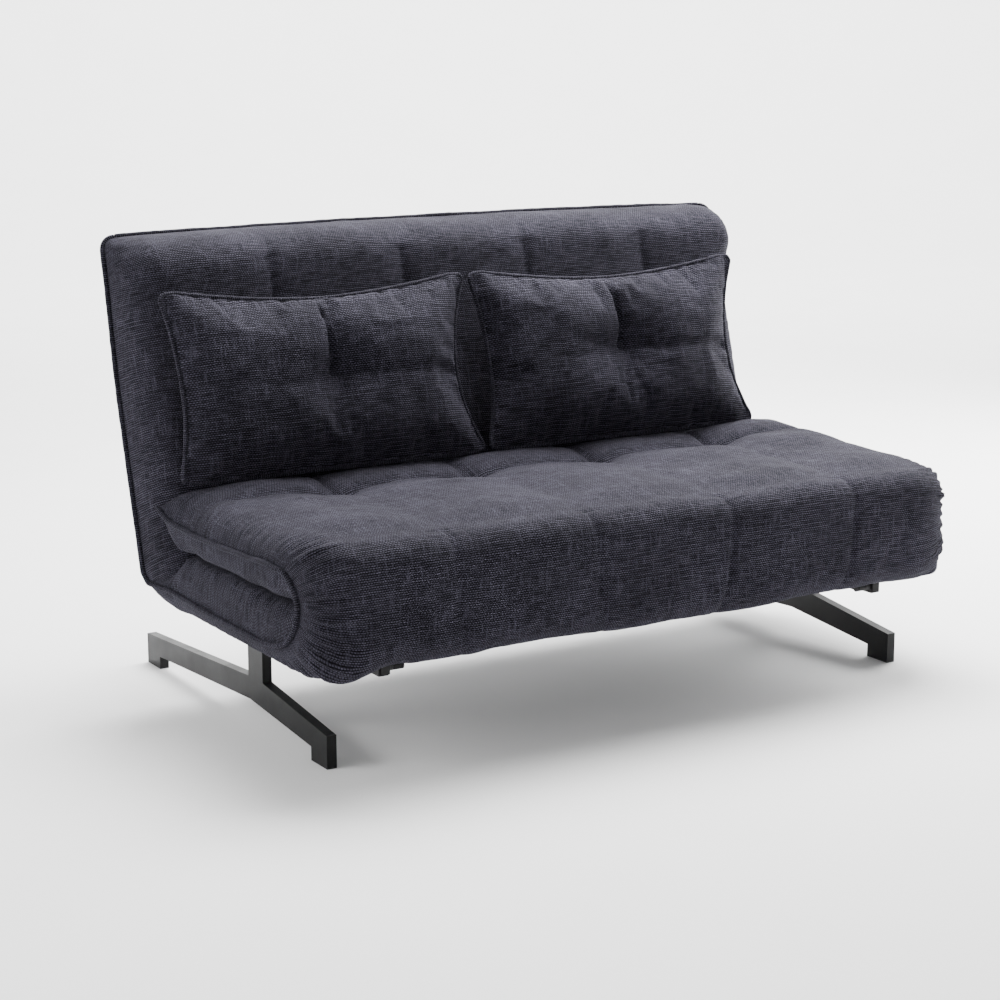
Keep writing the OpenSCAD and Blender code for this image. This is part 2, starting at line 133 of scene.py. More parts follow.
def arc(centre, radius, a0, a1, step=0.006):
    """Points round centre from angle a0 to a1, in degrees."""
    n = max(4, int(abs(math.radians(a1 - a0)) * radius / step))
    angles = np.radians(np.linspace(a0, a1, n + 1))
    return np.array(centre) + radius * np.stack([np.cos(angles), np.sin(angles)], 1)


def lengths(points):
    """Distance along a line of points."""
    steps = np.linalg.norm(np.diff(points, axis=0), axis=1)
    return np.concatenate([[0], np.cumsum(steps)])


def resample(points, count):
    at = lengths(points)
    want = np.linspace(0, at[-1], count)
    return np.stack([np.interp(want, at, points[:, k]) for k in range(points.shape[1])], 1)


def spline(points, count):
    """A smooth curve through a few points."""
    p = np.array(points, float)
    at = lengths(p)
    slope = np.gradient(p, at, axis=0)
    want = np.linspace(0, at[-1], count)
    i = np.clip(np.searchsorted(at, want) - 1, 0, len(at) - 2)
    h = (at[i + 1] - at[i])[:, None]
    t = ((want - at[i]) / (at[i + 1] - at[i]))[:, None]
    return ((2 * t**3 - 3 * t**2 + 1) * p[i] + (t**3 - 2 * t**2 + t) * h * slope[i]
            + (3 * t**2 - 2 * t**3) * p[i + 1] + (t**3 - t**2) * h * slope[i + 1])


def grid_normals(grid):
    """Unit normals of a grid of points, rows by columns."""
    along = np.gradient(grid, axis=0)
    across = np.gradient(grid, axis=1)
    n = np.cross(across, along)
    return n / np.maximum(np.linalg.norm(n, axis=2, keepdims=True), 1e-12)


# ---- Material nodes ----

class Nodes:
    """Short calls for building a material's node tree."""

    def __init__(self, name):
        self.material = bpy.data.materials.new(name)
        self.material.use_nodes = True
        self.tree = self.material.node_tree
        self.shader = self.tree.nodes["Principled BSDF"]

    def link(self, value, socket):
        if isinstance(value, bpy.types.NodeSocket):
            self.tree.links.new(value, socket)
        else:
            socket.default_value = value

    def set(self, name, value):
        """Gives one of the shader's own sockets a constant, or links a node to it."""
        self.link(value, self.shader.inputs[name])

    def math(self, operation, a, b=0.0, clamp=False):
        node = self.tree.nodes.new("ShaderNodeMath")
        node.operation = operation
        node.use_clamp = clamp
        self.link(a, node.inputs[0])
        self.link(b, node.inputs[1])
        return node.outputs[0]

    def noise(self, vector, scale, detail=2.0, roughness=0.5):
        node = self.tree.nodes.new("ShaderNodeTexNoise")
        self.link(vector, node.inputs["Vector"])
        node.inputs["Scale"].default_value = scale
        node.inputs["Detail"].default_value = detail
        node.inputs["Roughness"].default_value = roughness
        return node.outputs["Fac"]

    def times(self, a, b, clamp=False):
        return self.math("MULTIPLY", a, b, clamp)

    def streaks(self, parts, factors, detail=2.0, roughness=0.5, shift=0.0):
        """Noise over the parts of a place, each multiplied by its factor. A missing third part is shift."""
        scaled = [self.times(part, factor) for part, factor in zip(parts, factors)]
        return self.noise(self.xyz(*(scaled + [shift])[:3]), 1.0, detail, roughness)

    def remap(self, value, low, high, to_low=0.0, to_high=1.0):
        node = self.tree.nodes.new("ShaderNodeMapRange")
        self.link(value, node.inputs["Value"])
        for key, number in (("From Min", low), ("From Max", high), ("To Min", to_low), ("To Max", to_high)):
            node.inputs[key].default_value = number
        return node.outputs["Result"]

    def mix(self, factor, a, b):
        node = self.tree.nodes.new("ShaderNodeMix")
        node.data_type = "RGBA"
        self.link(factor, node.inputs[0])
        self.link(a, node.inputs[6])
        self.link(b, node.inputs[7])
        return node.outputs[2]

    def xyz(self, x=0.0, y=0.0, z=0.0):
        node = self.tree.nodes.new("ShaderNodeCombineXYZ")
        for socket, value in zip(node.inputs, (x, y, z)):
            self.link(value, socket)
        return node.outputs[0]

    def split(self, vector):
        node = self.tree.nodes.new("ShaderNodeSeparateXYZ")
        self.link(vector, node.inputs[0])
        return node.outputs

    def place(self):
        """The point on the object, in metres."""
        return self.tree.nodes.new("ShaderNodeTexCoord").outputs["Object"]

    def attribute(self, name):
        node = self.tree.nodes.new("ShaderNodeAttribute")
        node.attribute_name = name
        return node.outputs["Vector"]

    def bump(self, height, distance, strength=1.0):
        node = self.tree.nodes.new("ShaderNodeBump")
        node.inputs["Distance"].default_value = distance
        node.inputs["Strength"].default_value = strength
        self.link(height, node.inputs["Height"])
        self.set("Normal", node.outputs[0])


def chenille():
    """Slubby woven chenille. The weave runs along the cloth attribute, in metres of fabric."""
    n = Nodes("slate_chenille")
    cloth = n.attribute("cloth")
    u, v, _ = n.split(cloth)
    wobble_u = n.streaks((u, v), (22.0, 60.0))
    wobble_v = n.streaks((u, v), (60.0, 22.0), shift=5.0)
    warp_u = n.math("ADD", u, n.remap(wobble_u, 0, 1, -0.0022, 0.0022))
    warp_v = n.math("ADD", v, n.remap(wobble_v, 0, 1, -0.0020, 0.0020))
    pitch_u, pitch_v = 0.0056, 0.0043

    # Plain weave: rows of plump yarn, cut by the other yarns half a step further in every second row
    row = n.math("FLOOR", n.math("DIVIDE", warp_v, pitch_v))
    rows = n.remap(n.math("SINE", n.times(warp_v, 2 * math.pi / pitch_v)), -0.75, 0.35)
    half_step = n.times(row, math.pi)
    cut_phase = n.math("ADD", n.times(warp_u, 2 * math.pi / pitch_u), half_step)
    cuts = n.remap(n.math("SINE", cut_phase), -0.85, 0.2, 0.25, 1.0)
    # Slubs: long thick and thin stretches of yarn in each direction
    slub_level = n.streaks((u, v), (26.0, 230.0), 3.0, 0.6, shift=9.0)
    slub_up = n.streaks((u, v), (230.0, 22.0), 3.0, 0.6)
    level = n.times(n.times(rows, cuts), n.remap(slub_level, 0.36, 0.62, 0.30, 1.0))
    upright = n.remap(slub_up, 0.50, 0.66, 0.0, 0.60)
    weave = n.math("MAXIMUM", level, n.times(upright, n.remap(rows, 0, 1, 0.55, 1.0)))
    fibres = n.noise(cloth, 1100.0, 2.0, 0.7)
    height = n.times(weave, n.remap(fibres, 0.25, 0.7, 0.62, 1.05))
    nap = n.noise(cloth, 7.0, 4.0, 0.62)
    # The base colour is partly painted light: darker in the low gaps between the yarns, a painted shade, and
    # lighter on the raised yarn tops, a painted highlight standing in for the chenille's sheen, over the
    # yarn's own slubby slate colour with soft patches of the nap.
    tone = n.times(height, n.remap(nap, 0.32, 0.68, 0.62, 1.12), clamp=True)
    shaded_gap_colour = (0.0016, 0.0015, 0.0024, 1)
    lit_yarn_colour = (0.098, 0.092, 0.127, 1)
    n.set("Base Color", n.mix(tone, shaded_gap_colour, lit_yarn_colour))
    n.set("Roughness", n.remap(tone, 0, 1, 1.0, 0.85))
    n.set("Sheen Weight", 0.10)
    n.set("Specular IOR Level", 0.08)
    n.set("Sheen Roughness", 0.33)
    n.set("Sheen Tint", (0.62, 0.60, 0.74, 1))
    n.bump(height, 0.0022, 1.0)
    return n.material


def powder_coat(name, colour, roughness):
    """Satin powder coat with fine orange peel and slightly worn tone."""
    n = Nodes(name)
    place = n.place()
    peel = n.noise(place, 900.0, 2.0)
    wear = n.noise(place, 14.0, 4.0, 0.6)
    lighter = tuple(min(1.0, c * 1.7 + 0.004) for c in colour[:3]) + (1,)
    n.set("Base Color", n.mix(n.remap(wear, 0.35, 0.7), colour, lighter))
    n.set("Roughness", n.remap(wear, 0.3, 0.7, roughness - 0.06, roughness + 0.08))
    n.set("Specular IOR Level", 0.18)
    n.bump(peel, 0.0002, 0.5)
    return n.material


def plated():
    n = Nodes("zinc_plated_steel")
    place = n.place()
    cloud = n.noise(place, 60.0, 4.0, 0.6)
    scratches = n.streaks(n.split(place), (900.0, 60.0, 60.0), 3.0)
    n.set("Base Color", n.mix(cloud, (0.42, 0.44, 0.47, 1), (0.66, 0.66, 0.64, 1)))
    n.set("Roughness", n.remap(n.math("ADD", cloud, scratches), 0.6, 1.4, 0.22, 0.42))
    n.set("Metallic", 1.0)
    n.bump(scratches, 0.0001, 0.4)
    return n.material


def birch():
    n = Nodes("lacquered_birch")
    parts = n.split(n.place())
    rings = n.streaks(parts, (90.0, 5.0, 90.0), 4.0, 0.6)
    pores = n.streaks(parts, (900.0, 30.0, 900.0))
    colour = n.mix(n.remap(rings, 0.3, 0.7), (0.62, 0.43, 0.24, 1), (0.46, 0.29, 0.15, 1))
    n.set("Base Color", colour)
    n.set("Roughness", n.remap(pores, 0.3, 0.7, 0.32, 0.48))
    n.bump(pores, 0.0002, 0.4)
    return n.material


def felt(name, colour):
    """Non-woven cloth or moulded plastic with a fine grain."""
    n = Nodes(name)
    place = n.place()
    fibre = n.noise(place, 1400.0, 3.0, 0.7)
    cloud = n.noise(place, 25.0, 3.0)
    lighter = tuple(min(1.0, c * 2.2 + 0.006) for c in colour[:3]) + (1,)
    tone = n.times(fibre, n.remap(cloud, 0.3, 0.7, 0.4, 1.0))
    n.set("Base Color", n.mix(tone, colour, lighter))
    n.set("Roughness", n.remap(fibre, 0.3, 0.7, 0.75, 0.95))
    n.bump(fibre, 0.0004, 0.6)
    return n.material


def foam():
    n = Nodes("seat_foam")
    place = n.place()
    cells = n.noise(place, 700.0, 3.0, 0.7)
    n.set("Base Color", n.mix(cells, (0.62, 0.57, 0.43, 1), (0.80, 0.76, 0.62, 1)))
    n.set("Roughness", n.remap(cells, 0.3, 0.7, 0.8, 0.98))
    n.bump(cells, 0.0008, 0.7)
    return n.material


CHENILLE = chenille()
STEEL = powder_coat("black_powder_coat", (0.0022, 0.0022, 0.0025, 1), 0.44)
PLATED = plated()
BIRCH = birch()
DUST_CLOTH = felt("dust_cloth_felt", (0.014, 0.014, 0.016, 1))
PLASTIC = felt("moulded_black_plastic", (0.012, 0.012, 0.013, 1))
FOAM = foam()

NODE_FINISH = {
    "foot": STEEL, "frame": STEEL, "channel": STEEL, "runner": STEEL, "crossbar": STEEL,
    "bow_arms": STEEL, "bow_pins": STEEL, "brackets": STEEL,
    "bolts": PLATED, "pins": PLATED, "hinge_pins": STEEL, "hinge_bracket": STEEL, "hinge_disc": STEEL,
    "fold_bracket": PLATED, "link_arm": PLATED, "upper_bracket": PLATED,
    "slats": BIRCH,
    "holders": PLASTIC, "glides": PLASTIC, "caps": PLASTIC, "spacers": PLASTIC,
    "webbing": DUST_CLOTH, "dust_cover": DUST_CLOTH,
    "foam": FOAM,
    "inner_cover": CHENILLE, "outer_cover": CHENILLE, "roll_cover": CHENILLE, "pillow": CHENILLE,
}


def finish_nodes():
    """Gives each CAD node the material whose key is the longest that its name contains."""
    for name, node in frame["nodes"].items():
        keys = sorted((k for k in NODE_FINISH if k in name), key=len)
        node.data.materials.clear()
        node.data.materials.append(NODE_FINISH[keys[-1]])


# ---- Building pieces ----

def mesh_piece(name, points, faces, cloth, normals=None):
    """A smooth mesh in chenille, with its fabric coordinates and, if given, a normal for each point."""
    mesh = bpy.data.meshes.new(name)
    mesh.from_pydata(points.tolist(), [], faces.tolist())
    mesh.polygons.foreach_set("use_smooth", np.ones(len(mesh.polygons), bool))
    attribute = mesh.attributes.new("cloth", "FLOAT_VECTOR", "POINT")
    attribute.data.foreach_set("vector", cloth.astype(np.float32).ravel())
    mesh.materials.append(CHENILLE)
    if normals is not None:
        mesh.normals_split_custom_set_from_vertices(normals.tolist())
    piece = bpy.data.objects.new(name, mesh)
    bpy.context.scene.collection.objects.link(piece)
    return piece


def grid_faces(rows, columns, flip=False):
    i, j = np.meshgrid(np.arange(rows - 1), np.arange(columns - 1), indexing="ij")
    a = (i * columns + j).ravel()
    faces = np.stack([a, a + 1, a + columns + 1, a + columns], 1)
    return faces[:, ::-1] if flip else faces


def tube(name, path, radius, seed, closed=False):
    """Piping: a slightly uneven round cord of fabric along a path."""
    sides = 10
    if closed:
        path = path[:-1]
        ahead, behind = np.roll(path, -1, 0), np.roll(path, 1, 0)
        tangent = ahead - behind
    else:
        tangent = np.gradient(path, axis=0)
    tangent /= np.linalg.norm(tangent, axis=1, keepdims=True)
    side = np.cross(tangent, np.array([0.3, 0.1, 1.0]))
    weak = np.linalg.norm(side, axis=1) < 0.25
    side[weak] = np.cross(tangent[weak], np.array([1.0, 0.2, 0.0]))
    side /= np.linalg.norm(side, axis=1, keepdims=True)
    for k in range(1, len(side)):
        side[k] = side[k - 1] - tangent[k] * (side[k - 1] @ tangent[k])
        side[k] /= np.linalg.norm(side[k])
    other = np.cross(tangent, side)
    at = lengths(np.vstack([path, path[:1]]) if closed else path)[:len(path)]
    angle = np.linspace(0, 2 * math.pi, sides, endpoint=False)
    uneven = radius * (1 + 0.10 * noise(at, at * 0, 0.012, seed))
    ring = (side[:, None] * np.cos(angle)[None, :, None] + other[:, None] * np.sin(angle)[None, :, None])
    points = path[:, None] + ring * uneven[:, None, None]
    rows = len(path)
    k = np.arange(rows if closed else rows - 1)
    j = np.arange(sides)
    kk, jj = np.meshgrid(k, j, indexing="ij")
    nxt = (kk + 1) % rows
    faces = np.stack([kk * sides + jj, kk * sides + (jj + 1) % sides,
                      nxt * sides + (jj + 1) % sides, nxt * sides + jj], -1).reshape(-1, 4)
    cloth = np.stack([np.repeat(angle[None] * radius * 1.2, rows, 0), np.repeat(at[:, None], sides, 1),
                      np.full((rows, sides), seed * 0.37)], -1).reshape(-1, 3)
    return mesh_piece(name, points.reshape(-1, 3), faces[:, ::-1], cloth)


# ---- Side outlines of the covers ----

FOLD_Y = -0.391
FOLD_STRETCH = 3.0
SEAT_POINTS = 420
BACK_TOP = BACK_LEN - 0.008
TOP_CORNER_R = 0.028


def piping_line():
    """Y and Z of the piping at the sofa's ends, from the upper section's rear tip to the back's top."""
    seat = spline([
        (0.163, 0.409), (0.125, 0.390), (0.06, 0.380), (-0.08, 0.380), (-0.22, 0.385), (-0.32, 0.388),
        (-0.362, 0.380), (-0.382, 0.356), (FOLD_Y, MID_Z), (-0.385, 0.284), (-0.362, 0.254),
        (-0.31, 0.240), (-0.20, 0.237), (-0.05, 0.237), (0.08, 0.240), (0.17, 0.243),
        (0.218, 0.243)], SEAT_POINTS)
    rear = np.array([on_back(u, -BACK_HALF + 0.003) for u in np.linspace(0.015, BACK_TOP, 150)])
    return np.vstack([seat, rear])


PIPING = piping_line()
PIPING_AT = lengths(PIPING)
FOLD_AT = PIPING_AT[np.argmin(np.hypot(PIPING[:, 0] - FOLD_Y, PIPING[:, 1] - MID_Z))]
AT_HEEL = PIPING_AT[SEAT_POINTS - 1]
AT_END = PIPING_AT[-1]
AT_TUCK = AT_HEEL - 0.12


def piping_place(at):
    return np.stack([np.interp(at, PIPING_AT, PIPING[:, k]) for k in (0, 1)], -1)


def end_x(at, side):
    """Distance of the piping from the sofa's middle at a place along it.

    On the back, the right end (side 1) is drawn in and the left end (side -1) stands out a little."""
    rear = smooth(at, AT_TUCK, AT_TUCK + 0.15)
    near_top = smooth(at, AT_END - 0.35, AT_END)
    # The back frame's top corner needs room under the cover
    at_frame = smooth(at, AT_END - 0.20, AT_END - 0.09)
    right_tuck = 0.042 * rear - 0.022 * at_frame
    left_tuck = -0.014 * rear * (1 - 0.6 * near_top)
    tuck = np.where(np.asarray(side) > 0, right_tuck, left_tuck)
    pull = 0.017 * bump(at, FOLD_AT, 0.13)
    tip = 0.012 * bump(at, 0.0, 0.12)
    from_top = np.clip(AT_END - at, 0, TOP_CORNER_R)
    corner = TOP_CORNER_R - np.sqrt(np.maximum(TOP_CORNER_R**2 - (TOP_CORNER_R - from_top)**2, 0))
    return HALF_W - 0.004 - pull + tip - corner - tuck


def outline_with_partner(stretches):
    """Joins stretches of (points, piping start, piping end) and pairs each point with its piping place."""
    outline, partner = [], []
    for points, start, end in stretches:
        at = lengths(points)
        outline.append(points[1:] if outline else points)
        own = start + (end - start) * at / at[-1]
        partner.append(own[1:] if partner else own)
    return np.vstack(outline), np.concatenate(partner)


def line(a, b, step=0.007):
    n = max(2, int(np.linalg.norm(np.array(b) - np.array(a)) / step))
    return np.linspace(a, b, n + 1)


def piping_near(y, z, low=0.0, high=None):
    """Place along the piping nearest to a point."""
    keep = (PIPING_AT >= low) & (PIPING_AT <= (AT_END if high is None else high))
    distance = np.hypot(PIPING[:, 0] - y, PIPING[:, 1] - z)
    distance[~keep] = 9
    return PIPING_AT[np.argmin(distance)]


def ellipse(a, b, start, step=0.005):
    """A quarter ellipse from a to b that leaves a along start, 'z' or 'y'."""
    count = max(5, int(np.hypot(a[0] - b[0], a[1] - b[1]) / step))
    t = np.radians(np.linspace(0, 90, count))
    first, second = (1 - np.cos(t), np.sin(t)) if start == "z" else (np.sin(t), 1 - np.cos(t))
    return np.stack([a[0] + (b[0] - a[0]) * first, a[1] + (b[1] - a[1]) * second], 1)


TIP = tuple(PIPING[0])
AT_J = piping_near(-0.31, 0.240, FOLD_AT)
AT_HINGE = piping_near(0.17, 0.243, FOLD_AT)
AT_LOW_FRONT = piping_near(-0.36, 0.254, FOLD_AT)
AT_LOW_REAR = piping_near(0.10, 0.241, FOLD_AT)
AT_HIGH_FRONT = piping_near(-0.36, 0.380, 0, FOLD_AT)
AT_HIGH_REAR = piping_near(0.10, 0.385, 0, 0.2)
HINGE_TURN = 90 - math.degrees(LEAN)
BELLY = SEAT_Z + 0.003


def outer_outline():
    """The outer fabric: over the seat, round the roll, under the seat and up the rear of the back."""
    top_start = (0.100, UPPER_TOP)
    at_shoulder = piping_near(-0.30, 0.388, 0, FOLD_AT)
    at_high = piping_near(-0.366, 0.377, 0, FOLD_AT)
    at_low = piping_near(-0.366, 0.257, FOLD_AT)
    heel = arc(BACK_PIVOT, BACK_HALF, 270, 270 + HINGE_TURN)
    return outline_with_partner([
        (ellipse(TIP, top_start, "z"), 0, AT_HIGH_REAR),
        (line(top_start, (-0.30, UPPER_TOP)), AT_HIGH_REAR, at_shoulder),
        (line((-0.30, UPPER_TOP), (HIGH_FOLD[0], UPPER_TOP)), at_shoulder, at_high - 0.012),
        (arc(HIGH_FOLD, ROLL_R, 90, 180), at_high - 0.012, FOLD_AT - 0.022),
        (line((FRONT_Y, HIGH_FOLD[1]), (FRONT_Y, MID_Z)), FOLD_AT - 0.022, FOLD_AT),
        (line((FRONT_Y, MID_Z), (FRONT_Y, LOW_FOLD[1])), FOLD_AT, FOLD_AT + 0.022),
        (arc(LOW_FOLD, ROLL_R, 180, 270), FOLD_AT + 0.022, at_low + 0.012),
        (line((LOW_FOLD[0], SEAT_Z), (-0.31, BELLY)), at_low + 0.012, AT_J),
        (line((-0.31, BELLY), (0.10, BELLY)), AT_J, AT_LOW_REAR),
        (line((0.10, BELLY), (BACK_PIVOT[0], BACK_PIVOT[1] - BACK_HALF)), AT_LOW_REAR, AT_HINGE),
        (heel, AT_HINGE, AT_HEEL + 0.012),
        (line(on_back(0, -BACK_HALF), on_back(BACK_TOP, -BACK_HALF)), AT_HEEL + 0.012, AT_END),
    ])


CREASE = (0.1185, 0.272)


def seat_lining_outline():
    """The inner fabric under the upper section, from the rear tip to the fold."""
    under = UPPER_Z + 0.001
    rear = (0.118, under)
    return outline_with_partner([
        (ellipse(TIP, rear, "z"), 0, AT_HIGH_REAR),
        (line(rear, (-0.345, under)), AT_HIGH_REAR, AT_HIGH_FRONT),
        (line((-0.345, under), (FOLD_Y, MID_Z)), AT_HIGH_FRONT, FOLD_AT),
    ])


def base_lining_outline():
    """The inner fabric over the lower section, down into the hinge crease and up the front of the back."""
    over = LOWER_TOP - 0.001
    nose = on_back(0.030, BACK_HALF)
    # The crown runs from its start up the back, round to the piping behind the top
    start, turn = 0.600, np.radians(np.linspace(0, 70, 26))
    deep = (2 * BACK_HALF - 0.003) / (1 - math.cos(turn[-1]))
    high = (BACK_TOP - start) / math.sin(turn[-1])
    crown = [on_back(start + high * math.sin(t), BACK_HALF - deep * (1 - math.cos(t))) for t in turn]
    at_crease = AT_HEEL - 0.02
    return outline_with_partner([
        (line((FOLD_Y, MID_Z), (-0.345, over)), FOLD_AT, AT_LOW_FRONT),
        (line((-0.345, over), (0.085, over)), AT_LOW_FRONT, AT_LOW_REAR),
        (ellipse((0.085, over), CREASE, "y"), AT_LOW_REAR, at_crease),
        (line(CREASE, nose), at_crease, AT_HEEL + 0.02),
        (line(nose, tuple(crown[0])), AT_HEEL + 0.02, AT_END - 0.095),
        (np.array(crown), AT_END - 0.095, AT_END),
    ])


def sweep(outline, partner, rounding, power, right_rounding=None, side_steps=16, pitch=0.0075):
    """Points of a cover, rows by columns. At each end it rounds off from the outline to the piping.

    rounding and power give each row's rounding width and superellipse power, and right_rounding the
    right end's own width."""
    right_rounding = rounding if right_rounding is None else right_rounding
    rows = len(outline)
    left, right = end_x(partner, -1), end_x(partner, 1)
    piping = piping_place(partner)
    flat_half = HALF_W - 0.07
    inner = np.linspace(-1, 1, int(2 * flat_half / pitch) + 1)
    tau = np.linspace(0, math.pi / 2, side_steps + 1)[1:]
    h = np.sin(tau)[None] ** (2 / power[:, None])
    w = np.cos(tau)[None] ** (2 / power[:, None])
    w[:, -1] = 0
    left_x = -((left - rounding)[:, None] + rounding[:, None] * h)
    right_x = (right - right_rounding)[:, None] + right_rounding[:, None] * h
    blend = (inner[None] + 1) / 2
    middle_x = -(left - rounding)[:, None] * (1 - blend) + (right - right_rounding)[:, None] * blend
    x = np.concatenate([left_x[:, ::-1], middle_x, right_x], 1)
    share = np.concatenate([w[:, ::-1], np.ones((rows, len(inner))), w], 1)
    yz = piping[:, None] + (outline - piping)[:, None] * share[..., None]
    return np.concatenate([x[..., None], yz], 2), share


def fabric_coordinates(grid, seed, fold_stretch=1.0):
    """Metres along the cloth: across from the middle column, and along each row from the first.

    The slack tucked into the front fold is fold_stretch longer, so its weave is even when the bed is open."""
    step_x = np.linalg.norm(np.diff(grid, axis=1), axis=2)
    across = np.concatenate([np.zeros((len(grid), 1)), np.cumsum(step_x, 1)], 1)
    middle = grid.shape[1] // 2
    across -= across[:, middle:middle + 1]
    steps = np.diff(lengths(grid[:, middle]), prepend=0.0)
    tucked = fall(grid[:, middle, 1], -0.392, -0.355) * (np.abs(grid[:, middle, 2] - MID_Z) < 0.06)
    along = np.cumsum(steps * (1 + (fold_stretch - 1) * tucked))
    return np.stack([across, np.repeat(along[:, None], grid.shape[1], 1), np.full(across.shape, seed)], 2)


def crease(distance, width, depth):
    return -depth * np.exp(-(np.abs(distance) / width) ** 1.2)


def column_distance(x):
    return np.min(np.abs(x[..., None] - COLUMNS), -1)


def cell_puff(x):
    """0 on a stitch column, 1 halfway between two."""
    phase = ((x + COLUMN_PITCH / 2) / COLUMN_PITCH) % 1.0
    return 1 - np.abs(2 * phase - 1) ** 2.2


def gathers(at, x, from_end, reach, pitch, depth, seed):
    """Small folds that run inwards from the piping and fade over reach."""
    inward = np.clip(from_end / reach, 0, 1)
    end = np.sign(x)
    phase = at / pitch + 0.55 * noise(at, x * 0.6, 0.03, seed) + 0.9 * noise(at, x * 0 + end, 0.11, seed + 1)
    fold = np.cos(2 * math.pi * phase)
    uneven = 0.55 + 0.45 * noise(at, end * 3.0 + x * 0.2, 0.035, seed + 2)
    return depth * fold * uneven * (1 - inward) ** 1.3 * smooth(inward, 0.0, 0.30)


def crowned(points):
    """Lifts the back's top edge a little in the middle of the sofa."""
    up_back = (points[..., 1:] - BACK_PIVOT) @ UP_BACK
    arch = 1 - np.clip(np.abs(points[..., 0]) / HALF_W, 0, 1) ** 2.2
    lift = 0.008 * arch * smooth(up_back, 0.42, BACK_LEN)
    return np.concatenate([points[..., :1], points[..., 1:] + lift[..., None] * UP_BACK], -1)


def displaced(grid, amount, side):
    """Moves a grid outwards by amount. side is 1 where its normals face out, and -1 on the outer cover."""
    return grid + side * grid_normals(grid) * amount[..., None]


def row_near(at, place):
    """The row of a cover that lies nearest to a place along its outline."""
    return int(np.argmin(np.abs(at - place)))


# ---- The outer cover: seat top, roll, underside, heel and the rear of the back ----

